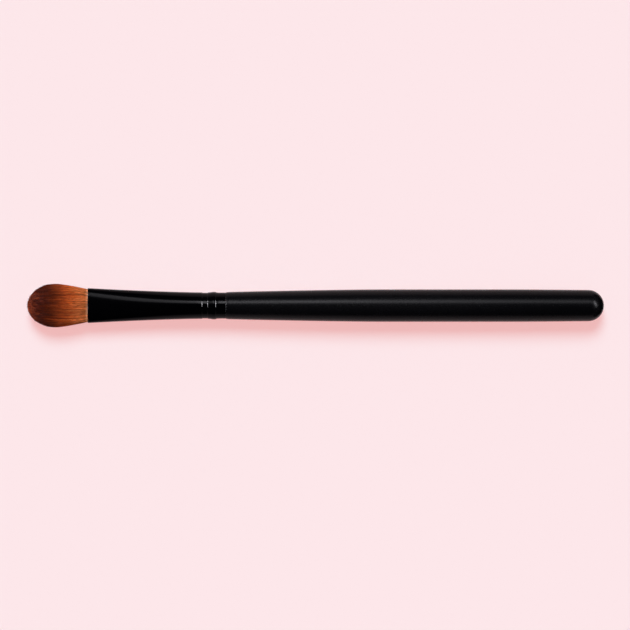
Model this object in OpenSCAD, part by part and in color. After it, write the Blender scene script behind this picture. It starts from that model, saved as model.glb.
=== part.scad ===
// Flat eyeshadow brush: a domed tuft of hair, a metal ferrule that is flattened at
// its mouth and crimped onto the handle, and a long turned handle with a round end.
//
// The brush lies flat. Its axis runs along X with the tuft at -X, and the underside
// of the handle touches Z = 0. The origin is below the middle of the brush.
// Stations along the axis are counted from the ferrule's mouth: towards the butt
// for the ferrule, the handle and the roots, and towards the tip for loose hair.

/* [Tuft] */
// Hair that shows in front of the ferrule
hair_len = 17; // [14:0.5:22]
// Greatest width of the tuft
tuft_w = 12; // [10.6:0.1:14]
// Greatest thickness of the tuft
tuft_t = 7.2; // [5:0.1:8]
// Distance from the mouth to the widest section
swell_len = 8.7; // [6:0.1:10]
// How much shorter than the dome a strand may be cut
tip_ragged = 0.3; // [0:0.05:0.6]
// Rings of strands between the middle and the edge
strand_rings = 11; // [10:1:11]

/* [Roots] */
// Length of hair held inside the ferrule
root_len = 12; // [10.5:0.5:14]
// Depth at which the resin begins to surround the roots
resin_start = 6; // [3:0.5:7.5]
// Length of the resin plug behind the roots
plug_len = 3; // [1.5:0.5:4]
// Gap between the tied root end and the ferrule's bore
tied_gap = 0.55; // [0.4:0.05:0.8]
// Width of the thread binding
binding_w = 2.4; // [1:0.2:3]
// Thickness of the thread binding
binding_t = 0.3; // [0.15:0.05:0.35]
// Distance from the binding to the root end
binding_inset = 0.8; // [0.4:0.1:1.5]

/* [Ferrule] */
// Length of the ferrule
ferrule_len = 38.3; // [36:0.1:42]
// Outer diameter of its round neck
neck_d = 7.34; // [7:0.02:7.8]
// Wall of the tube
ferrule_wall = 0.3; // [0.2:0.05:0.4]
// Outer width of the flattened mouth
mouth_w = 9.66; // [8.8:0.02:10.4]
// Outer thickness of the flattened mouth
mouth_t = 4.1; // [3.5:0.1:5.5]
// Length of the round stretch that is crimped onto the handle
crimped_len = 6.8; // [6.7:0.1:8]
// Distance from the handle end of the ferrule to the top of the bead
bead_inset = 3.4; // [3:0.1:3.5]
// Length over which the bead rises to its top
bead_lead = 1.5; // [0.8:0.1:1.6]
// Length over which the bead falls to the crimp behind it
bead_fall = 1.5; // [0.8:0.1:2]
// Height of the bead above the neck
bead_rise = 0.14; // [0.05:0.01:0.25]
// Distance from the top of the bead to the ledge on its way down
ledge_inset = 0.5; // [0.3:0.05:0.8]
// Height of that ledge, a part of the bead's fall
ledge_rise = 0.1; // [0.05:0.01:0.15]
// Length of the crimp in front of the bead
crimp_w = 1.8; // [1:0.05:1.9]
// Length of the ledge and of each wall of that crimp
crimp_wall = 0.25; // [0.2:0.05:0.5]
// Depth of the crimp in front of the bead
front_crimp_depth = 0.11; // [0.05:0.01:0.25]
// Depth of the crimp behind the bead, which runs to the end of the ferrule
rear_crimp_depth = 0.06; // [0.03:0.01:0.2]

/* [Handle] */
// Length of the handle behind the ferrule
handle_len = 104.7; // [95:0.1:140]
// Diameter just behind the ferrule
shoulder_d = 7.56; // [7.4:0.02:8.2]
// Length of the rounded edge that meets the ferrule
shoulder_lead = 1.2; // [0.4:0.1:2]
// Diameter of the straight middle
belly_d = 8.95; // [8.4:0.05:10]
// Distance from the ferrule to the straight middle
front_taper_len = 43; // [35:0.5:50]
// Length of the straight middle
straight_len = 37; // [30:0.5:43]
// Diameter where the round end begins
butt_d = 8.64; // [7:0.02:8.9]
// Length of the round end
dome_len = 4.3; // [2:0.1:6]

/* [Tenon] */
// Air gap between the resin plug and the tenon
plug_gap = 5.3; // [2:0.1:10]
// Diameter at the tenon's front end
tenon_tip_d = 5.2; // [4:0.1:5.4]
// Bevel round the front of the tenon
tenon_bevel = 0.4; // [0.1:0.1:0.8]
// Thickness of the cement between tenon and ferrule
cement_t = 0.08; // [0.04:0.01:0.15]

/* [Hidden] */

// Gap between what is packed into the flattened bore and its wall
bore_gap = 0.02;
// Thickness of the resin where it begins round the roots
resin_lip = 0.12;
// Step in each face of the wall where the flattened stretch runs into the round one
seam_step = 0.03;

neck_r = neck_d / 2;
belly_r = belly_d / 2;
shoulder_r = shoulder_d / 2;
butt_r = butt_d / 2;
brush_len = hair_len + ferrule_len + handle_len;
mouth_x = hair_len - brush_len / 2;
axis_z = belly_r;

flat_len = ferrule_len - crimped_len;
bead_at = ferrule_len - bead_inset;
front_crimp_end = bead_at - bead_lead;
front_crimp_start = front_crimp_end - crimp_w;
binding_end = root_len - binding_inset;
binding_start = binding_end - binding_w;
tenon_front = root_len + plug_len + plug_gap;
straight_start = ferrule_len + front_taper_len;
straight_end = straight_start + straight_len;
butt_end = ferrule_len + handle_len;
dome_start = butt_end - dome_len;

// A superellipse of power 2 is an ellipse, and a higher power squares its shoulders
round_power = 2;
mouth_power = 2.3;
// How quickly each curve eases from one size to the next, as a power of the way left
mouth_width_ease = 1.45;
mouth_thickness_ease = 1.2;
hair_swell_ease = 1.35;
front_taper_ease = 1.45;
rear_taper_ease = 1.3;
// Part of the way from the widest section to the tip where the bundle draws in
gather_share = 0.6;
// Part of a strand's cell that it fills, and where along the strand
strand_fill_shares = [0.82, 0.86, 0.7];
half_swell_share = 0.5;
last_ring_share = 0.55;
ragged_seed = 7;
// A strand has three sides, a ring for each share above and a tip
strand_sides = 3;
strand_levels = len(strand_fill_shares);
strand_size = strand_sides * strand_levels + 1;

// The flattened and the round stretch have equally many sides, so they meet edge to edge
sides = 6 * strand_rings;
$fn = sides;
bore_stations = 11;
crimp_steps = 136;
taper_steps = 20;
arc_steps = 12;

function mix(a, b, t) = a + (b - a) * t;
function signed_power(v, power) = sign(v) * pow(abs(v), power);
// Goes from 0 to 1, fast at first, and arrives level
function eased(t, ease) = 1 - pow(max(0, 1 - t), ease);
// Goes from 0 to 1 along a run from a station, level at both ends
function ramp(z, start, run) = (1 - cos(180 * min(1, max(0, (z - start) / run)))) / 2;

// A point of an oval section whose half sizes are a thickness and a width
function oval_point(rho, angle, half_t, half_w, power) = [
    rho * half_t * signed_power(cos(angle), 2 / power),
    rho * half_w * signed_power(sin(angle), 2 / power)
];

// Half thickness, half width and power of the ferrule's outside at a depth
function flat_half_t(z) = mix(mouth_t / 2, neck_r, eased(z / flat_len, mouth_thickness_ease));
function flat_half_w(z) = mix(mouth_w / 2, neck_r, eased(z / flat_len, mouth_width_ease));
function flat_power(z) = mix(mouth_power, round_power, z / flat_len);

// A closed ring of points at a depth, this far inside the ferrule's outside
function flat_ring(z, inset) = [
    for (i = [0 : sides - 1])
        let (
            half_t = flat_half_t(z) - inset,
            half_w = flat_half_w(z) - inset,
            p = oval_point(1, 360 * i / sides, half_t, half_w, flat_power(z))
        ) [p.x, p.y, z]
];
function bore_ring(z, gap) = flat_ring(z, ferrule_wall + gap);

// The tied roots taper evenly from the resin's lip to the root end, grown by a thickness
function root_ring(z, grown = 0) =
    let (
        t = (z - resin_start) / (root_len - resin_start),
        lip = bore_ring(resin_start, resin_lip - grown),
        end = bore_ring(root_len, tied_gap - grown)
    ) mix(lip, end, t);

// Outer radius of the round stretch: a bead between two crimps
function crimped_r(z) = neck_r
    - front_crimp_depth * ramp(z, front_crimp_start, crimp_wall)
    + front_crimp_depth * ramp(z, front_crimp_end - crimp_wall, crimp_wall)
    + bead_rise * ramp(z, front_crimp_end, bead_lead)
    - ledge_rise * ramp(z, bead_at + ledge_inset, crimp_wall)
    - (bead_rise + rear_crimp_depth - ledge_rise) * ramp(z, bead_at, bead_fall);
function crimped_bore_r(z) = crimped_r(z) - ferrule_wall;
function tenon_r(z) = crimped_bore_r(z) - cement_t;
crimp_stations = [for (i = [0 : crimp_steps]) mix(flat_len, ferrule_len, i / crimp_steps)];

function backward(stations) = [for (i = [len(stations) - 1 : -1 : 0]) stations[i]];

// Places a shape whose own Z runs along the brush's axis from the ferrule's mouth
module towards_butt() translate([mouth_x, 0, axis_z]) rotate([0, 90, 0]) children();
module towards_tip() translate([mouth_x, 0, axis_z]) rotate([0, -90, 0]) children();

// A skin over a chain of rings with equally many points. A looped chain closes on its
// first ring, as a tube's wall does, and any other is capped at both ends.
module skin(rings, looped = false) {
    n = len(rings[0]);
    count = len(rings);
    spans = looped ? count : count - 1;
    walls = [
        for (k = [0 : spans - 1], i = [0 : n - 1])
            let (a = k * n, b = (k + 1) % count * n, j = (i + 1) % n)
                each [[a + i, b + i, b + j], [a + i, b + j, a + j]]
    ];
    first_cap = [for (i = [0 : n - 1]) i];
    last_cap = [for (i = [n - 1 : -1 : 0]) (count - 1) * n + i];
    polyhedron(
        points = [for (ring = rings) each ring],
        faces = looped ? walls : concat(walls, [first_cap, last_cap]),
        convexity = 6
    );
}

// The tuft grows from a lattice of triangular cells in rings round the middle. A cell
// with its base on the outer ring carries a strand, and the others are valleys.
function lattice_start(k) = k == 0 ? 0 : 1 + 3 * k * (k - 1);
function lattice_index(k, j) = k == 0 ? 0 : lattice_start(k) + j % (6 * k);
function lattice_rho(k) = k / strand_rings;
function lattice_angle(k, j) = k == 0 ? 0 : 60 * j / k;
function lattice_flat(k, j) = lattice_rho(k) * [cos(lattice_angle(k, j)), sin(lattice_angle(k, j))];

strand_cells = [
    for (k = [0 : strand_rings - 1], sextant = [0 : 5], i = [0 : k])
        let (outer = sextant * (k + 1) + i)
            [[k + 1, outer], [k + 1, outer + 1], [k, sextant * k + i]]
];
valley_cells = [
    for (k = [1 : strand_rings - 1], sextant = [0 : 5], i = [0 : k - 1])
        let (inner = sextant * k + i)
            [[k, inner], [k, inner + 1], [k + 1, sextant * (k + 1) + i + 1]]
];

// Loose hair swells from the mouth to its widest section and then gathers to the tip
tip_len = hair_len - swell_len;
function past_swell(s) = max(0, s - swell_len) / tip_len;
function gathered(s) = sqrt(1 - gather_share * pow(past_swell(s), 2));
function hair_half(s, mouth_size, tuft_size) =
    mix(mouth_size / 2 - ferrule_wall - bore_gap, tuft_size / 2, eased(s / swell_len, hair_swell_ease))
    * gathered(s);
function hair_power(s) = mix(mouth_power, round_power, min(1, s / swell_len));
// A point of the unit disc carried to the hair's section at a distance from the mouth
function hair_point(p, s) =
    let (
        half_t = hair_half(s, mouth_t, tuft_t),
        half_w = hair_half(s, mouth_w, tuft_w),
        flat = oval_point(norm(p), atan2(p.y, p.x), half_t, half_w, hair_power(s))
    ) [flat.x, flat.y, s];

// Where a strand meets the dome, which is round across and along the tuft
function dome_reach(rho) =
    swell_len + tip_len * sqrt((1 - rho * rho) / (1 - gather_share * rho * rho));
function strand_points(cell, cut) =
    let (
        corners = [for (c = cell) lattice_flat(c[0], c[1])],
        middle = (corners[0] + corners[1] + corners[2]) / 3,
        tip = dome_reach(norm(middle)) - cut,
        stations = [half_swell_share * swell_len, swell_len, mix(swell_len, tip, last_ring_share)]
    ) concat(
        [
            for (level = [0 : strand_levels - 1], corner = corners)
                hair_point(mix(middle, corner, strand_fill_shares[level]), stations[level])
        ],
        [hair_point(middle, tip)]
    );
// A strand's faces run from the lattice's own corners at its base over its rings to its tip
function strand_faces(base, first) =
    let (
        rings = concat([base], [
            for (level = [0 : strand_levels - 1])
                [for (i = [0 : strand_sides - 1]) first + strand_sides * level + i]
        ]),
        tip = first + strand_size - 1
    ) concat(
        [
            for (level = [0 : strand_levels - 1], i = [0 : strand_sides - 1])
                let (j = (i + 1) % strand_sides, low = rings[level], high = rings[level + 1])
                    each [[low[i], high[i], high[j]], [low[i], high[j], low[j]]]
        ],
        [
            for (i = [0 : strand_sides - 1])
                [rings[strand_levels][i], tip, rings[strand_levels][(i + 1) % strand_sides]]
        ]
    );

// Hair: the strands and the slice of packed roots that they grow from are one solid
module hair_tuft() color("#7a4426") towards_tip() {
    lattice_count = lattice_start(strand_rings + 1);
    lattice = [
        for (k = [0 : strand_rings], j = [0 : max(1, 6 * k) - 1])
            hair_point(lattice_flat(k, j), 0)
    ];
    // The root rings run the other way along the axis, so they are turned to match
    roots = [for (ring = [root_ring(resin_start), root_ring(root_len)], p = ring) [p.x, p.y, -p.z]];
    strands_at = lattice_count + len(roots);
    cuts = rands(0, tip_ragged, len(strand_cells), ragged_seed);
    strands = [for (i = [0 : len(strand_cells) - 1]) each strand_points(strand_cells[i], cuts[i])];

    rim = lattice_start(strand_rings);
    root_faces = [
        for (k = [0 : 1], i = [0 : sides - 1])
            let (
                j = (i + 1) % sides,
                top = k == 0 ? rim : lattice_count,
                low = lattice_count + k * sides
            ) each [[low + i, top + i, top + j], [low + i, top + j, low + j]]
    ];
    root_end = [for (i = [0 : sides - 1]) lattice_count + sides + i];
    valley_faces = [for (cell = valley_cells) [for (c = cell) lattice_index(c[0], c[1])]];
    all_strand_faces = [
        for (i = [0 : len(strand_cells) - 1])
            each strand_faces(
                [for (c = strand_cells[i]) lattice_index(c[0], c[1])],
                strands_at + strand_size * i
            )
    ];
    polyhedron(
        points = concat(lattice, roots, strands),
        faces = concat(root_faces, [root_end], valley_faces, all_strand_faces),
        convexity = 10
    );
}

// Thread wound round the roots before they are pushed into the ferrule
module thread_binding() color("ivory") towards_butt()
    skin([
        root_ring(binding_start),
        root_ring(binding_end),
        root_ring(binding_end, binding_t),
        root_ring(binding_start, binding_t)
    ], looped = true);

// Resin that fills the bore round the tied roots and behind them
module root_resin() color("goldenrod") towards_butt()
    skin([
        root_ring(root_len),
        root_ring(binding_end),
        root_ring(binding_end, binding_t),
        root_ring(binding_start, binding_t),
        root_ring(binding_start),
        root_ring(resin_start),
        bore_ring(resin_start, bore_gap),
        bore_ring(mix(resin_start, root_len, 1 / 2), bore_gap),
        bore_ring(root_len, bore_gap),
        bore_ring(root_len + plug_len, bore_gap)
    ]);

// Thin tube, flattened towards the mouth and crimped twice where it grips the tenon
module ferrule() color("#151517") towards_butt() {
    flattened_tube();
    crimped_tube();
}

module flattened_tube() {
    stations = [for (i = [0 : bore_stations]) flat_len * i / bore_stations];
    outside = [for (z = stations) flat_ring(z, seam_step * z / flat_len)];
    inside = [for (z = backward(stations)) bore_ring(z, -seam_step * z / flat_len)];
    skin(concat(outside, inside), looped = true);
}

module crimped_tube() rotate_extrude() polygon(concat(
    [for (z = crimp_stations) [crimped_r(z), z]],
    [for (z = backward(crimp_stations)) [crimped_bore_r(z), z]]
));

// Film of cement that bonds the tenon into the crimped stretch
module tenon_cement() color("khaki") towards_butt() rotate_extrude() polygon(concat(
    [for (z = crimp_stations) [crimped_bore_r(z), z]],
    [for (z = backward(crimp_stations)) [tenon_r(z), z]]
));

// Turned handle: tenon, rounded shoulder, long swell, straight middle and round end
module handle() color("#26262a") towards_butt() rotate_extrude() polygon(concat(
    tenon_outline(),
    shoulder_outline(),
    taper_outline(ferrule_len + shoulder_lead, straight_start, shoulder_r, belly_r, front_taper_ease),
    backward_taper_outline(),
    dome_outline()
));

function tenon_outline() = concat(
    [
        [0, tenon_front],
        [tenon_tip_d / 2 - tenon_bevel, tenon_front],
        [tenon_tip_d / 2, tenon_front + tenon_bevel]
    ],
    [for (z = crimp_stations) [tenon_r(z), z]]
);

// A quarter of an ellipse from the ferrule's outside up to the handle's skin
function shoulder_outline() = [
    for (i = [0 : arc_steps - 1])
        let (angle = 90 * i / arc_steps)
            [
                mix(crimped_r(ferrule_len), shoulder_r, sin(angle)),
                ferrule_len + shoulder_lead * (1 - cos(angle))
            ]
];

function taper_outline(from, to, from_r, to_r, ease) = [
    for (i = [0 : taper_steps])
        let (t = i / taper_steps)
            [mix(from_r, to_r, eased(t, ease)), mix(from, to, t)]
];

// The same curve seen from the dome, where the straight middle falls away to the butt
function backward_taper_outline() =
    backward(taper_outline(dome_start, straight_end, butt_r, belly_r, rear_taper_ease));

function dome_outline() = [
    for (i = [1 : arc_steps])
        let (angle = 90 * i / arc_steps)
            [butt_r * cos(angle), dome_start + dome_len * sin(angle)]
];

hair_tuft();
thread_binding();
root_resin();
ferrule();
tenon_cement();
handle();
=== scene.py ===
# A flat eyeshadow brush on pale pink card: a domed tuft of brown hair, a gloss black
# ferrule that is flattened at its mouth, and a long satin black handle.
import math

import bmesh
import bpy
import numpy as np
from mathutils import Euler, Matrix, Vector


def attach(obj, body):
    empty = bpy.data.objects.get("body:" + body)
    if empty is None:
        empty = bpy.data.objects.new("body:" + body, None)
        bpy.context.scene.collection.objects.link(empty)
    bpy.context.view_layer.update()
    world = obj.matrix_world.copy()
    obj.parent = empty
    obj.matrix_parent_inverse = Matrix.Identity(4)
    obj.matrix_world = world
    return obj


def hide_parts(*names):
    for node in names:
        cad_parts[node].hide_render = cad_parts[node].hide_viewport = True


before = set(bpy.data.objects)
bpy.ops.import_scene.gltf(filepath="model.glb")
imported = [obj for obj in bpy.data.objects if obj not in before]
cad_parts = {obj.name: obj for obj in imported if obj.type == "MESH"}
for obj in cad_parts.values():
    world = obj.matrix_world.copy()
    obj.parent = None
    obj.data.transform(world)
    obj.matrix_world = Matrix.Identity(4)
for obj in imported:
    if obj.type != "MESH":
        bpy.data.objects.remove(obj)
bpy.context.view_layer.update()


# Camera
# It hangs a metre above the brush and looks straight down, with the tuft on the
# left, and the brush lies a little above the middle of the picture.
MM = 0.001
axis_z = 4.475  # the brush's axis above the surface that it lies on
camera_x, camera_y, camera_rise = -0.06, -2.61, 970.0

scene = bpy.context.scene
scene.view_settings.view_transform = "Standard"
lens = bpy.data.cameras.new("camera")
lens.lens = 200
lens.sensor_width = 36
lens.clip_start = 10 * MM
camera = bpy.data.objects.new("camera", lens)
camera.location = (camera_x * MM, camera_y * MM, (axis_z + camera_rise) * MM)
scene.collection.objects.link(camera)
scene.camera = camera


# Hair tuft
# Thousands of fine soft hairs, dyed dark towards their tips, are cupped in a mould into
# a dome and packed root first into the ferrule. Each hair is one thin tapered tube, and
# they lie in five layers from the core outwards.
mouth_x = -63.0  # the ferrule's mouth, from the middle of the brush's length
hair_len, swell_len, tip_len = 17.0, 8.7, 8.3
tuft_w, tuft_t = 12.0, 7.2
mouth_w, mouth_t = 9.66, 4.1
wall, flat_len, neck_r = 0.3, 31.5, 3.67
root_len, resin_start = 12.0, 6.0
mouth_gap, resin_gap, tied_gap = 0.02, 0.12, 0.55
# A superellipse of power 2 is an ellipse, and a higher power squares its shoulders. The
# mouth is squarer here than in the CAD, where it has 2.3.
mouth_power, round_power = 2.9, 2.0
# How quickly each size eases into the next, as a power of the way left
thickness_ease, width_ease, power_ease, swell_ease = 1.2, 1.45, 3, 1.35
gather_share = 0.6
hair_count, layer_count, clump_count = 14500, 5, 1800
hair_r, hair_sides, tip_merge = 0.0375, 4, 0.00001
chance = np.random.default_rng(15)


def eased(way, ease):
    """From 0 to 1, fast at first and level at the end."""
    return 1 - np.maximum(0, 1 - way) ** ease


def mix(a, b, way):
    return a + (b - a) * way


def ferrule_half(depth):
    """Half thickness, half width and squareness of the ferrule's outside at a depth."""
    way = np.clip(depth / flat_len, 0, 1)
    return (
        mix(mouth_t / 2, neck_r, eased(way, thickness_ease)),
        mix(mouth_w / 2, neck_r, eased(way, width_ease)),
        mix(mouth_power, round_power, eased(way, power_ease)),
    )


def oval(rho, angle, half_t, half_w, power):
    """A point of an oval section: how far it lies up and how far across."""
    up, across = np.cos(angle), np.sin(angle)
    return (
        rho * half_t * np.sign(up) * np.abs(up) ** (2 / power),
        rho * half_w * np.sign(across) * np.abs(across) ** (2 / power),
    )


def hair_half(out):
    """The same three for the bundle of hair, this far out of the mouth."""
    depth = np.maximum(0, -out)
    rim_t, rim_w, rim_power = ferrule_half(depth)
    gap = np.interp(depth, [0, resin_start, root_len], [mouth_gap, resin_gap, tied_gap])
    way = np.clip(out / swell_len, 0, 1)
    swell = eased(way, swell_ease)
    gather = np.sqrt(1 - gather_share * (np.maximum(0, out - swell_len) / tip_len) ** 2)
    return (
        mix(rim_t - (gap + wall), tuft_t / 2, swell) * gather,
        mix(rim_w - (gap + wall), tuft_w / 2, swell) * gather,
        mix(rim_power, round_power, way),
    )


def on_disc(spots):
    """Draws the spots that lie outside the unit disc in to its edge."""
    return spots / np.maximum(1, np.linalg.norm(spots, axis=1))[:, None]


# Sunflower order spreads the hairs evenly over the bundle, and clumps then draw
# neighbours a little together, which gives the fine grooves along the tuft
jitter, clump_pull, wander_step = 0.005, 0.35, 0.009
order = np.arange(hair_count)
rho = np.sqrt((order + 0.5) / hair_count)
angle = order * math.pi * (3 - math.sqrt(5))
spots = np.stack([rho * np.cos(angle), rho * np.sin(angle)], axis=1)
spots = on_disc(spots + chance.normal(0, jitter, spots.shape))
centres = spots[chance.choice(hair_count, clump_count, replace=False)]
clump = np.array([np.argmin(((centres - spot) ** 2).sum(axis=1)) for spot in spots])

# The hairs end at the dome, cut a little unevenly, and a few strays stand out
cut_proud, cut_ragged, clump_ragged = 0.07, 0.3, 0.25
stray_share, stray_len, stray_spread = 0.006, 0.35, 0.03
rho = np.linalg.norm(spots, axis=1)
reach = swell_len + tip_len * np.sqrt((1 - rho**2) / (1 - gather_share * rho**2))
reach += cut_proud - np.abs(chance.normal(0, cut_ragged, hair_count))
reach -= chance.uniform(0, clump_ragged, clump_count)[clump]
stray = chance.random(hair_count) < stray_share
reach += stray * chance.uniform(0, stray_len, hair_count)

# Stations of each hair: two inside the ferrule, the mouth, and shares of what shows,
# and how much of its full thickness it has at each
station_shares = [0.19, 0.38, 0.56, 0.72, 0.86, 0.96, 1.0]
station_r_shares = [0, 1, 1, 1, 1, 1, 0.95, 0.85, 0.6, 0]
stations = [out * np.ones(hair_count) for out in (-root_len, -resin_start, 0)]
stations += [share * reach for share in station_shares]
paths = np.zeros((hair_count, len(stations), 3))
wander = np.zeros(spots.shape)
for i, out in enumerate(stations):
    way = np.clip(out / hair_len, 0, 1)
    wander += (out > 0)[:, None] * chance.normal(0, wander_step, spots.shape)
    drawn = on_disc(spots + (clump_pull * way)[:, None] * (centres[clump] - spots) + wander)
    drawn *= (1 + stray * stray_spread * way)[:, None]
    up, across = oval(
        np.linalg.norm(drawn, axis=1), np.arctan2(drawn[:, 1], drawn[:, 0]), *hair_half(out)
    )
    paths[:, i] = np.stack([mouth_x - out, across, axis_z + up], axis=1) * MM

# Each hair has its own shade, over half of it shared with its clump, from dark to light,
# and the dye has crept a little further up one hair than up the next
own_shade, clump_creep, own_creep = 0.9, 0.7, 0.5
dye_margin, creep_limit = 2.5, 2.4
shade = chance.normal(0, 1, clump_count)[clump] + own_shade * chance.normal(0, 1, hair_count)
shade_rank = np.argsort(np.argsort(shade)) / hair_count
dye_creep = clump_creep * chance.normal(0, 1, clump_count)[clump]
dye_creep += own_creep * chance.normal(0, 1, hair_count)
dye_creep = np.clip(dye_creep, -creep_limit, creep_limit)


def linear(code):
    """The linear colour of an sRGB hex value."""
    parts = [int(code[i : i + 2], 16) / 255 for i in (1, 3, 5)]
    return [p / 12.92 if p <= 0.04045 else ((p + 0.055) / 1.055) ** 2.4 for p in parts] + [1]


def new_material(name):
    material = bpy.data.materials.new(name)
    material.use_nodes = True
    material.node_tree.nodes.clear()
    return material


def add_node(tree, kind, inputs, **settings):
    """Adds a node. A socket among its inputs is linked, and any other value is set."""
    node = tree.nodes.new(kind)
    for name, value in settings.items():
        setattr(node, name, value)
    for name, value in inputs.items():
        if isinstance(value, bpy.types.NodeSocket):
            tree.links.new(value, node.inputs[name])
        else:
            node.inputs[name].default_value = value
    return node


# Soft dyed hair: light orange brown at the ferrule and nearly black brown in the dyed dome.
# Towards the fine ends it turns lighter and redder again. That is a painted glow for light
# shining through them.
dyed_hair_and_tip_glow = new_material("dyed soft hair with painted tip glow")
tree = dyed_hair_and_tip_glow.node_tree
along = add_node(tree, "ShaderNodeUVMap", {}, uv_map="OFBake")
split = add_node(tree, "ShaderNodeSeparateXYZ", {"Vector": along.outputs["UV"]})
dye_and_glow_ramp = add_node(tree, "ShaderNodeValToRGB", {"Fac": split.outputs["X"]})
# Beyond 13.9 the stops grow lighter and redder: painted glow for light through the thin tips
dye_and_glow_colours = [  # by how far out of the mouth they lie
    (16.9, "#c05a34"),
    (16.1, "#aa4827"),
    (15.2, "#80331c"),
    (13.9, "#4b1504"),
    (11.8, "#4e1604"),
    (9.4, "#642506"),
    (7.2, "#963e18"),
    (5.0, "#b25120"),
    (2.8, "#bd6433"),
    (0.9, "#ae5f32"),
    (-1.5, "#a8602f"),
]
map_len = hair_len + root_len + 2 * dye_margin
stops = dye_and_glow_ramp.color_ramp.elements
while len(stops) < len(dye_and_glow_colours):
    stops.new(0.5)
for stop, (out, colour) in zip(stops, dye_and_glow_colours):
    stop.position = (hair_len + dye_margin - out) / map_len
    stop.color = linear(colour)
shading = add_node(
    tree, "ShaderNodeMapRange", {"Value": split.outputs["Y"], "To Min": 0.48, "To Max": 1.52}
)

# Along each hair the shade also comes and goes, in short locks that neighbours share
lock_len, lock_w = 2.6, 0.3
place = add_node(tree, "ShaderNodeTexCoord", {})
stretch = add_node(
    tree,
    "ShaderNodeMapping",
    {
        "Vector": place.outputs["Object"],
        "Scale": (1 / (lock_len * MM), 1 / (lock_w * MM), 1 / (lock_w * MM)),
    },
)
locks = add_node(tree, "ShaderNodeTexNoise", {"Vector": stretch.outputs["Vector"], "Scale": 1.0})
streaks = add_node(
    tree,
    "ShaderNodeMapRange",
    {
        "Value": locks.outputs["Fac"],
        "From Min": 0.3,
        "From Max": 0.7,
        "To Min": 0.68,
        "To Max": 1.32,
    },
)
value = add_node(
    tree,
    "ShaderNodeMath",
    {0: shading.outputs["Result"], 1: streaks.outputs["Result"]},
    operation="MULTIPLY",
)
tinted = add_node(
    tree,
    "ShaderNodeHueSaturation",
    {"Color": dye_and_glow_ramp.outputs["Color"], "Value": value.outputs["Value"]},
)

# Over a narrow band just out of the mouth the hairs turn paler towards it
mouth_pale_len = 0.7
point = add_node(tree, "ShaderNodeSeparateXYZ", {"Vector": place.outputs["Object"]})
mouth_pale_band = add_node(
    tree,
    "ShaderNodeMapRange",
    {
        "Value": point.outputs["X"],
        "From Min": (mouth_x - mouth_pale_len) * MM,
        "From Max": mouth_x * MM,
        "To Max": 0.3,
    },
)
root_pale = add_node(
    tree,
    "ShaderNodeMix",
    {0: mouth_pale_band.outputs["Result"], 6: tinted.outputs["Color"], 7: linear("#e0b896")},
    data_type="RGBA",
)
surface = add_node(
    tree,
    "ShaderNodeBsdfPrincipled",
    {"Base Color": root_pale.outputs[2], "Roughness": 0.5, "Specular IOR Level": 0.035},
)
add_node(tree, "ShaderNodeOutputMaterial", {"Surface": surface.outputs["BSDF"]})

for layer in range(layer_count):
    name = f"hair_layer_{layer + 1}"
    first = layer * hair_count // layer_count
    last = (layer + 1) * hair_count // layer_count
    strands = bpy.data.curves.new(name, "CURVE")
    strands.dimensions = "3D"
    strands.bevel_depth = hair_r * MM
    strands.bevel_resolution = 0
    for path in paths[first:last]:
        strand = strands.splines.new("POLY")
        strand.points.add(len(path) - 1)
        strand.points.foreach_set("co", np.column_stack([path, np.ones(len(path))]).ravel())
        strand.points.foreach_set("radius", station_r_shares)
    draft = bpy.data.objects.new("draft", strands)
    scene.collection.objects.link(draft)
    mesh = bpy.data.meshes.new_from_object(
        draft.evaluated_get(bpy.context.evaluated_depsgraph_get())
    )
    bpy.data.objects.remove(draft)
    mesh.materials.clear()
    mesh.materials.append(dyed_hair_and_tip_glow)
    mesh.shade_smooth()

    # The map runs from tip to root, and from the darkest hair to the lightest
    for old in list(mesh.uv_layers):
        mesh.uv_layers.remove(old)
    corners = np.zeros(len(mesh.loops), int)
    mesh.loops.foreach_get("vertex_index", corners)
    places = np.zeros(len(mesh.vertices) * 3)
    mesh.vertices.foreach_get("co", places)
    map_x = (mouth_x - hair_len - dye_margin) * MM
    of_hair = corners // (len(stations) * hair_sides)
    hair_side = corners % hair_sides / hair_sides / hair_count
    creep = dye_creep[first:last][of_hair]
    u = ((places[0::3][corners] - map_x) / MM - creep) / map_len
    v = shade_rank[first:last][of_hair] + hair_side
    mesh.uv_layers.new(name="OFBake").data.foreach_set("uv", np.column_stack([u, v]).ravel())

    # Each hair's end rings have shrunk to points, which are closed here
    closed = bmesh.new()
    closed.from_mesh(mesh)
    bmesh.ops.remove_doubles(closed, verts=closed.verts, dist=tip_merge * MM)
    closed.to_mesh(mesh)
    closed.free()
    hair = bpy.data.objects.new(name, mesh)
    scene.collection.objects.link(hair)
    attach(hair, "root")
    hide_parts("hair_tuft")


# Thread binding
# Waxed linen thread is wound tightly round the roots before they go into the ferrule,
# eight turns side by side. It gives a pale cord-like ribbing.
thread_pitch, fibre_size = 0.3, 0.12
wave_period = 0.314  # the length of one wave of the texture at a scale of 1


def give_finish(node, finish):
    """Gives a CAD piece its finish."""
    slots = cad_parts[node].data.materials
    slots.clear()
    slots.append(finish)


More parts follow.
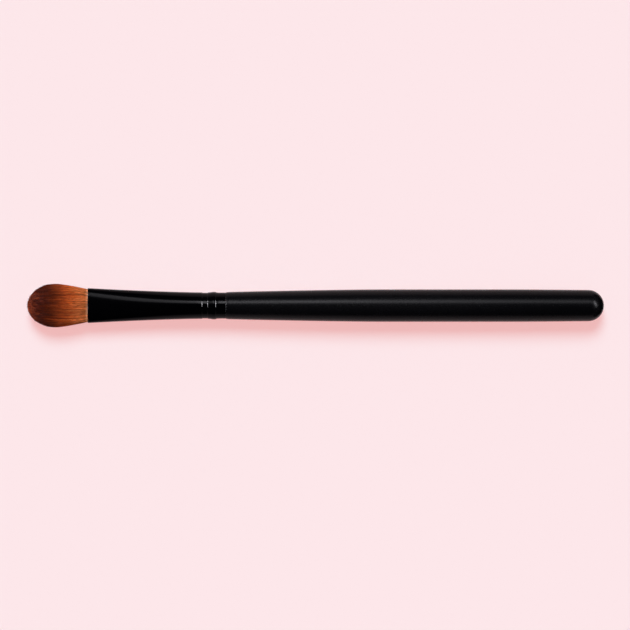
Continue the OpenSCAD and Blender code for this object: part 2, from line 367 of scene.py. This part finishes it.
waxed_thread = new_material("waxed linen thread")
tree = waxed_thread.node_tree
place = add_node(tree, "ShaderNodeTexCoord", {})
turns = add_node(
    tree,
    "ShaderNodeTexWave",
    {
        "Vector": place.outputs["Object"],
        "Scale": wave_period / (thread_pitch * MM),
        "Distortion": 0.3,
    },
    bands_direction="X",
)
fibres = add_node(
    tree, "ShaderNodeTexNoise", {"Vector": place.outputs["Object"], "Scale": 1 / (fibre_size * MM)}
)
colour = add_node(tree, "ShaderNodeValToRGB", {"Fac": fibres.outputs["Fac"]})
colour.color_ramp.elements[0].color = linear("#d8cfb6")
colour.color_ramp.elements[1].color = linear("#efe9d8")
ribs = add_node(
    tree, "ShaderNodeBump", {"Height": turns.outputs["Fac"], "Strength": 0.6, "Distance": 0.1 * MM}
)
surface = add_node(
    tree,
    "ShaderNodeBsdfPrincipled",
    {"Base Color": colour.outputs["Color"], "Roughness": 0.6, "Normal": ribs.outputs["Normal"]},
)
add_node(tree, "ShaderNodeOutputMaterial", {"Surface": surface.outputs["BSDF"]})
give_finish("thread_binding", waxed_thread)


# Root resin
# Two-part epoxy is poured over the tied roots in the ferrule and sets to an amber plug
# with a smooth face. It is clear, with cloudy patches where it wets the hair.
resin_cloud = 1.5
epoxy = new_material("amber epoxy")
tree = epoxy.node_tree
place = add_node(tree, "ShaderNodeTexCoord", {})
cloud = add_node(
    tree, "ShaderNodeTexNoise", {"Vector": place.outputs["Object"], "Scale": 1 / (resin_cloud * MM)}
)
colour = add_node(tree, "ShaderNodeValToRGB", {"Fac": cloud.outputs["Fac"]})
colour.color_ramp.elements[0].color = linear("#8f5c17")
colour.color_ramp.elements[1].color = linear("#d6a24a")
surface = add_node(
    tree,
    "ShaderNodeBsdfPrincipled",
    {"Base Color": colour.outputs["Color"], "Roughness": 0.15, "IOR": 1.55},
)
add_node(tree, "ShaderNodeOutputMaterial", {"Surface": surface.outputs["BSDF"]})
give_finish("root_resin", epoxy)


# Ferrule
# A thin seamless tube of drawn aluminium, pressed flat at its mouth in a die and then
# lacquered black. Two rolled crimps with a bead between them grip the handle's tenon.
ferrule_len, crimped_len = 38.3, 6.8
front_crimp_start, front_crimp_end, crimp_wall = 31.6, 33.4, 0.25
bead_at, bead_lead, bead_fall, bead_rise = 34.9, 1.5, 1.5, 0.14
ledge_at, ledge_rise = 35.4, 0.1
front_crimp_depth, rear_crimp_depth = 0.11, 0.06
lip_r, end_r, seam_merge = 0.12, 0.04, 0.0005
flat_rows, crimp_rows, turned_sides = 60, 272, 160


def ramp(depth, start, run):
    """From 0 to 1 along a run from a station, level at both ends."""
    return (1 - math.cos(math.pi * min(1, max(0, (depth - start) / run)))) / 2


def crimped_r(depth):
    """Outer radius of the ferrule's round stretch."""
    return (
        neck_r
        - front_crimp_depth * ramp(depth, front_crimp_start, crimp_wall)
        + front_crimp_depth * ramp(depth, front_crimp_end - crimp_wall, crimp_wall)
        + bead_rise * ramp(depth, front_crimp_end, bead_lead)
        - ledge_rise * ramp(depth, ledge_at, crimp_wall)
        - (bead_rise + rear_crimp_depth - ledge_rise) * ramp(depth, bead_at, bead_fall)
    )


def spun(outline, closed):
    """A bmesh turned round the brush's axis from an outline of depths and radii."""
    shape = bmesh.new()
    corners = [
        shape.verts.new(((mouth_x + depth) * MM, 0, (axis_z + radius) * MM))
        for depth, radius in outline
    ]
    for a, b in zip(corners, corners[1:] + corners[:1] if closed else corners[1:]):
        shape.edges.new((a, b))
    bmesh.ops.spin(
        shape,
        geom=shape.verts[:] + shape.edges[:],
        cent=(0, 0, axis_z * MM),
        axis=(1, 0, 0),
        angle=2 * math.pi,
        steps=turned_sides,
        use_merge=True,
    )
    bmesh.ops.remove_doubles(shape, verts=shape.verts, dist=seam_merge * MM)
    bmesh.ops.recalc_face_normals(shape, faces=shape.faces)
    return shape


def made_of(name, shape, *finishes):
    """An object made of a shape and the finishes that its faces name by number."""
    mesh = bpy.data.meshes.new(name)
    shape.to_mesh(mesh)
    shape.free()
    for finish in finishes:
        mesh.materials.append(finish)
    made = bpy.data.objects.new(name, mesh)
    scene.collection.objects.link(made)
    return made


# The wall's outline: out along its outside from the rounded lip, round the end and back
# along the bore, which shows less and has half the rows
depths = [flat_len * i / flat_rows for i in range(1, flat_rows + 1)]
depths += [flat_len + crimped_len * i / crimp_rows for i in range(1, crimp_rows)]
lip = [(1 - math.cos(t), math.sin(t)) for t in (0, math.pi / 6, math.pi / 3, math.pi / 2)]
end_outer = crimped_r(ferrule_len) - end_r
end_inner = crimped_r(ferrule_len) - wall + end_r
wall_outline = [(lip_r * a, neck_r - lip_r + lip_r * b) for a, b in lip]
wall_outline += [(d, crimped_r(d)) for d in depths]
wall_outline += [(ferrule_len - end_r * a, end_outer + end_r * b) for a, b in lip[::-1]]
wall_outline += [(ferrule_len - end_r * a, end_inner - end_r * b) for a, b in lip]
wall_outline += [(d, crimped_r(d) - wall) for d in depths[::-2]]
wall_outline += [(lip_r * a, neck_r - wall + lip_r - lip_r * b) for a, b in lip[::-1]]
tube = spun(wall_outline, closed=True)

# The die: each point keeps its depth in the wall and takes its place on the oval
for corner in tube.verts:
    depth = corner.co.x / MM - mouth_x
    if depth < flat_len:
        side, rise = corner.co.y / MM, corner.co.z / MM - axis_z
        inset = neck_r - math.hypot(side, rise)
        half_t, half_w, power = ferrule_half(depth)
        up, across = oval(1, math.atan2(side, rise), half_t - inset, half_w - inset, power)
        corner.co.y, corner.co.z = across * MM, (axis_z + up) * MM

# Black lacquer baked on aluminium: nearly no colour of its own, and a narrow clear
# highlight that the faint waves of the lacquer soften
lacquer_wave = 1.2
black_lacquer = new_material("gloss black lacquer on aluminium")
tree = black_lacquer.node_tree
place = add_node(tree, "ShaderNodeTexCoord", {})
waves = add_node(
    tree,
    "ShaderNodeTexNoise",
    {"Vector": place.outputs["Object"], "Scale": 1 / (lacquer_wave * MM)},
)
polish = add_node(
    tree, "ShaderNodeMapRange", {"Value": waves.outputs["Fac"], "To Min": 0.13, "To Max": 0.18}
)
peel = add_node(
    tree,
    "ShaderNodeBump",
    {"Height": waves.outputs["Fac"], "Strength": 0.05, "Distance": 0.02 * MM},
)
surface = add_node(
    tree,
    "ShaderNodeBsdfPrincipled",
    {
        "Base Color": linear("#010102"),
        "Roughness": polish.outputs["Result"],
        "Specular IOR Level": 0.057,
        "Normal": peel.outputs["Normal"],
    },
)
add_node(tree, "ShaderNodeOutputMaterial", {"Surface": surface.outputs["BSDF"]})

# Bare drawn aluminium inside the tube, grey and brushed along its length by the die
draw_len, draw_w = 8, 0.1
drawn_aluminium = new_material("drawn aluminium")
tree = drawn_aluminium.node_tree
place = add_node(tree, "ShaderNodeTexCoord", {})
stretch = add_node(
    tree,
    "ShaderNodeMapping",
    {
        "Vector": place.outputs["Object"],
        "Scale": (1 / (draw_len * MM), 1 / (draw_w * MM), 1 / (draw_w * MM)),
    },
)
lines = add_node(tree, "ShaderNodeTexNoise", {"Vector": stretch.outputs["Vector"], "Scale": 1.0})
polish = add_node(
    tree, "ShaderNodeMapRange", {"Value": lines.outputs["Fac"], "To Min": 0.25, "To Max": 0.45}
)
surface = add_node(
    tree,
    "ShaderNodeBsdfPrincipled",
    {"Base Color": linear("#c9cacc"), "Metallic": 1.0, "Roughness": polish.outputs["Result"]},
)
add_node(tree, "ShaderNodeOutputMaterial", {"Surface": surface.outputs["BSDF"]})

for face in tube.faces:
    middle = face.calc_center_median()
    face.smooth = True
    outwards = Vector((0, middle.y, middle.z - axis_z * MM))
    face.material_index = 0 if face.normal.dot(outwards) > 0 else 1
ferrule_tube = made_of("ferrule_tube", tube, black_lacquer, drawn_aluminium)
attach(ferrule_tube, "root")
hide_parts("ferrule")


# Tenon cement
# A thin film of wood glue between the tenon and the tube, pressed out as the crimps are
# rolled. It dries cream and slightly cloudy.
glue_cloud = 0.8
glue = new_material("dried wood glue")
tree = glue.node_tree
place = add_node(tree, "ShaderNodeTexCoord", {})
cloud = add_node(
    tree, "ShaderNodeTexNoise", {"Vector": place.outputs["Object"], "Scale": 1 / (glue_cloud * MM)}
)
colour = add_node(tree, "ShaderNodeValToRGB", {"Fac": cloud.outputs["Fac"]})
colour.color_ramp.elements[0].color = linear("#cfc08f")
colour.color_ramp.elements[1].color = linear("#e6dcb8")
surface = add_node(
    tree, "ShaderNodeBsdfPrincipled", {"Base Color": colour.outputs["Color"], "Roughness": 0.45}
)
add_node(tree, "ShaderNodeOutputMaterial", {"Surface": surface.outputs["BSDF"]})
give_finish("tenon_cement", glue)


# Handle
# Birch, turned on a copying lathe with its tenon in one piece, sanded and dipped in
# black lacquer. It swells from the ferrule to a straight middle and ends in a dome.
handle_len, front_taper_len, straight_len, dome_len = 104.7, 43, 37, 4.3
tenon_front, tenon_tip_r, tenon_bevel, cement_t = 20.3, 2.6, 0.4, 0.08
shoulder_r, shoulder_lead = 3.78, 1.2
belly_r, butt_r = 4.475, 4.32
front_ease, rear_ease = 1.45, 1.3
tenon_rows, shoulder_rows, taper_rows, dome_rows = 136, 12, 24, 24
butt_end = ferrule_len + handle_len
straight_start = ferrule_len + front_taper_len
straight_end = straight_start + straight_len
dome_start = butt_end - dome_len


def taper(start, end, start_r, end_r, ease):
    """Points of a curve that leaves one radius fast and arrives level at the next."""
    ways = [i / taper_rows for i in range(taper_rows + 1)]
    return [(mix(start, end, way), mix(start_r, end_r, float(eased(way, ease)))) for way in ways]


tenon_depths = [flat_len + crimped_len * i / tenon_rows for i in range(tenon_rows + 1)]
shoulder_angles = [math.pi / 2 * i / shoulder_rows for i in range(shoulder_rows)]
dome_angles = [math.pi / 2 * i / dome_rows for i in range(1, dome_rows + 1)]
profile = [(tenon_front, 0), (tenon_front, tenon_tip_r - tenon_bevel)]
profile += [(tenon_front + tenon_bevel, tenon_tip_r)]
profile += [(d, crimped_r(d) - wall - cement_t) for d in tenon_depths]
profile += [
    (
        ferrule_len + shoulder_lead * (1 - math.cos(t)),
        mix(crimped_r(ferrule_len), shoulder_r, math.sin(t)),
    )
    for t in shoulder_angles
]
profile += taper(ferrule_len + shoulder_lead, straight_start, shoulder_r, belly_r, front_ease)
profile += taper(dome_start, straight_end, butt_r, belly_r, rear_ease)[::-1]
profile += [(dome_start + dome_len * math.sin(t), butt_r * math.cos(t)) for t in dome_angles]
turned = spun(profile, closed=False)

# Black lacquer with a satin finish: a soft broad highlight, a trace of orange peel from
# the dip, and no grain showing through
satin_patch, peel_size = 3.0, 0.5
satin_lacquer = new_material("satin black lacquer on birch")
tree = satin_lacquer.node_tree
place = add_node(tree, "ShaderNodeTexCoord", {})
patches = add_node(
    tree, "ShaderNodeTexNoise", {"Vector": place.outputs["Object"], "Scale": 1 / (satin_patch * MM)}
)
polish = add_node(
    tree, "ShaderNodeMapRange", {"Value": patches.outputs["Fac"], "To Min": 0.24, "To Max": 0.3}
)
dip = add_node(
    tree, "ShaderNodeTexNoise", {"Vector": place.outputs["Object"], "Scale": 1 / (peel_size * MM)}
)
peel = add_node(
    tree, "ShaderNodeBump", {"Height": dip.outputs["Fac"], "Strength": 0.04, "Distance": 0.02 * MM}
)
surface = add_node(
    tree,
    "ShaderNodeBsdfPrincipled",
    {
        "Base Color": linear("#050507"),
        "Roughness": polish.outputs["Result"],
        "Specular IOR Level": 0.08,
        "Normal": peel.outputs["Normal"],
    },
)
add_node(tree, "ShaderNodeOutputMaterial", {"Surface": surface.outputs["BSDF"]})

# Bare birch on the tenon: pale, with fine straight grain along the handle
grain_len, grain_w = 9, 0.35
birch = new_material("bare birch")
tree = birch.node_tree
place = add_node(tree, "ShaderNodeTexCoord", {})
stretch = add_node(
    tree,
    "ShaderNodeMapping",
    {
        "Vector": place.outputs["Object"],
        "Scale": (1 / (grain_len * MM), 1 / (grain_w * MM), 1 / (grain_w * MM)),
    },
)
grain = add_node(tree, "ShaderNodeTexNoise", {"Vector": stretch.outputs["Vector"], "Scale": 1.0})
colour = add_node(tree, "ShaderNodeValToRGB", {"Fac": grain.outputs["Fac"]})
colour.color_ramp.elements[0].color = linear("#c79f6b")
colour.color_ramp.elements[1].color = linear("#e8cfa3")
surface = add_node(
    tree, "ShaderNodeBsdfPrincipled", {"Base Color": colour.outputs["Color"], "Roughness": 0.6}
)
add_node(tree, "ShaderNodeOutputMaterial", {"Surface": surface.outputs["BSDF"]})

bare_end = ferrule_len - 0.01
for face in turned.faces:
    face.smooth = True
    depth = face.calc_center_median().x / MM - mouth_x
    face.material_index = 1 if depth < bare_end else 0
turned_handle = made_of("turned_handle", turned, satin_lacquer, birch)
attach(turned_handle, "root")
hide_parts("handle")


# Floor
# Smooth pale pink card. It glows a little from inside where the camera and reflections
# see it, so that the brush's shadow comes out pink, as on the card, and not grey.
floor_half = 4  # metres
card_colour = linear("#fde7ea")
lit_share = (0.19, 0.58, 0.61)


def seen_rays(tree):
    """1 for the rays of the camera and of reflections, 0 for those that carry light."""
    ray = add_node(tree, "ShaderNodeLightPath", {})
    shiny = add_node(
        tree,
        "ShaderNodeMath",
        {0: ray.outputs["Is Glossy Ray"], 1: ray.outputs["Is Transmission Ray"]},
        operation="MAXIMUM",
    )
    seen = add_node(
        tree,
        "ShaderNodeMath",
        {0: ray.outputs["Is Camera Ray"], 1: shiny.outputs["Value"]},
        operation="MAXIMUM",
    )
    return seen.outputs["Value"]


card = new_material("pale pink card")
tree = card.node_tree
seen = seen_rays(tree)
lit_colour = add_node(
    tree,
    "ShaderNodeMix",
    {
        0: seen,
        6: card_colour,
        7: [c * share for c, share in zip(card_colour, lit_share)] + [1],
    },
    data_type="RGBA",
)
lit = add_node(tree, "ShaderNodeBsdfDiffuse", {"Color": lit_colour.outputs[2]})
glow = add_node(
    tree,
    "ShaderNodeEmission",
    {
        "Color": [c * (1 - share) for c, share in zip(card_colour, lit_share)] + [1],
        "Strength": seen,
    },
)
both = add_node(tree, "ShaderNodeAddShader", {0: lit.outputs["BSDF"], 1: glow.outputs["Emission"]})
add_node(tree, "ShaderNodeOutputMaterial", {"Surface": both.outputs["Shader"]})

sheet = bmesh.new()
bmesh.ops.create_grid(sheet, x_segments=1, y_segments=1, size=floor_half)
floor = made_of("floor", sheet, card)


# Lamps and world
# A soft lamp behind the brush gives the shadow, and one overhead fills it evenly.
# Softboxes show as highlights in the black pieces, and the room is dark above.
softbox_tint = (1.0, 0.98, 1.04)


def sun(name, tilt, lean, angle, level):
    """A far lamp, off the vertical towards +Y and -X, that lights the floor to a level."""
    tilt, lean = math.radians(tilt), math.radians(lean)
    lamp = bpy.data.lights.new(name, "SUN")
    lamp.energy = level * math.pi / (math.cos(tilt) * math.cos(lean))
    lamp.angle = math.radians(angle)
    far = bpy.data.objects.new(name, lamp)
    far.rotation_euler = (-tilt, -lean, 0)
    far.visible_glossy = False
    scene.collection.objects.link(far)


sun("soft_key", tilt=36.5, lean=4, angle=28, level=0.65)
sun("overhead_fill", tilt=0, lean=0, angle=8, level=0.25)


def softbox(name, towards, distance, size, radiance, turn=0, aim=(0, 0, 0), spread=180):
    """A flat lamp that faces a point and shows only in glossy surfaces."""
    direction = Vector(towards).normalized()
    lamp = bpy.data.lights.new(name, "AREA")
    lamp.shape = "RECTANGLE"
    lamp.size, lamp.size_y = size
    lamp.energy = radiance * math.pi * size[0] * size[1]
    lamp.spread = math.radians(spread)
    lamp.color = softbox_tint
    box = bpy.data.objects.new(name, lamp)
    box.location = Vector(aim) * MM + direction * distance
    facing = direction.to_track_quat("Z", "Y")
    box.rotation_euler = (facing @ Euler((0, 0, math.radians(turn))).to_quaternion()).to_euler()
    box.visible_diffuse = False
    box.visible_camera = False
    scene.collection.objects.link(box)
    return lamp


# The middle box brightens the long one's highlight at the crimps and on both sides of
# them, and the elliptical one gives the butt its spot. Distances and sizes are in metres.
softbox("long_softbox", (0, 0.492, 0.870), 0.9, (1.6, 0.3), radiance=3.9)
softbox("middle_softbox", (-0.067, 0.492, 0.870), 0.9, (0.09, 0.3), radiance=15.0)
octabox = softbox(
    "butt_softbox", (0.795, 0.195, 0.573), 0.8, (0.54, 0.19), radiance=17.0, turn=12
)
octabox.shape = "ELLIPSE"
softbox("tuft_softbox", (-0.905, 0.22, 0.365), 0.8, (0.7, 0.28), radiance=4.0)

# Small gridded lamps graze the ferrule from its ends, for the bright lines in the crimps
crimps = (-29.6, 0, axis_z)
grid_size, grid_distance, grid_spread = (0.012, 0.05), 0.12, 60
grid_reach, grid_rise = 0.88, 0.44
for height, lean, level in (("high", 0.42, 17), ("middle", 0.19, 26), ("low", -0.05, 14)):
    for end, reach, share in (("tuft", -grid_reach, 0.8), ("butt", grid_reach, 1)):
        softbox(
            f"{end}_grid_{height}",
            (reach, lean, grid_rise),
            grid_distance,
            grid_size,
            radiance=share * level,
            aim=crimps,
            spread=grid_spread,
        )

# A black flag stands beyond the butt and shows only in the lacquer, as the dome's dark rim
flag_gap, flag_w, flag_h = 4.5, 40.0, 9.0
black_cloth = new_material("black flag cloth")
tree = black_cloth.node_tree
surface = add_node(tree, "ShaderNodeBsdfDiffuse", {"Color": linear("#020202")})
add_node(tree, "ShaderNodeOutputMaterial", {"Surface": surface.outputs["BSDF"]})
cloth = bmesh.new()
bmesh.ops.create_grid(cloth, x_segments=1, y_segments=1, size=MM / 2)
bmesh.ops.scale(cloth, vec=(flag_h, flag_w, 1), verts=cloth.verts)
upright = Euler((0, math.pi / 2, 0)).to_matrix()
bmesh.ops.rotate(cloth, cent=(0, 0, 0), matrix=upright, verts=cloth.verts)
flag_x = mouth_x + butt_end + flag_gap
bmesh.ops.translate(cloth, vec=(flag_x * MM, 0, flag_h / 2 * MM), verts=cloth.verts)
flag = made_of("butt_flag", cloth, black_cloth)
flag.visible_camera = False
flag.visible_diffuse = False
flag.visible_shadow = False

# The room shows pale near the horizon and dark above, and lights the brush only faintly
room = bpy.data.worlds.new("room")
scene.world = room
room.use_nodes = True
tree = room.node_tree
tree.nodes.clear()
place = add_node(tree, "ShaderNodeTexCoord", {})
height = add_node(tree, "ShaderNodeSeparateXYZ", {"Vector": place.outputs["Generated"]})
rise = add_node(
    tree,
    "ShaderNodeMapRange",
    {"Value": height.outputs["Z"], "From Min": 0.0, "From Max": 0.27},
    interpolation_type="SMOOTHSTEP",
)
shown = add_node(
    tree,
    "ShaderNodeMix",
    {0: rise.outputs["Result"], 6: card_colour, 7: linear("#0c0b0c")},
    data_type="RGBA",
)
fill = add_node(
    tree,
    "ShaderNodeMix",
    {0: seen_rays(tree), 6: (0.1, 0.1, 0.1, 1), 7: shown.outputs[2]},
    data_type="RGBA",
)
sky = add_node(tree, "ShaderNodeBackground", {"Color": fill.outputs[2], "Strength": 1.0})
add_node(tree, "ShaderNodeOutputWorld", {"Surface": sky.outputs["Background"]})
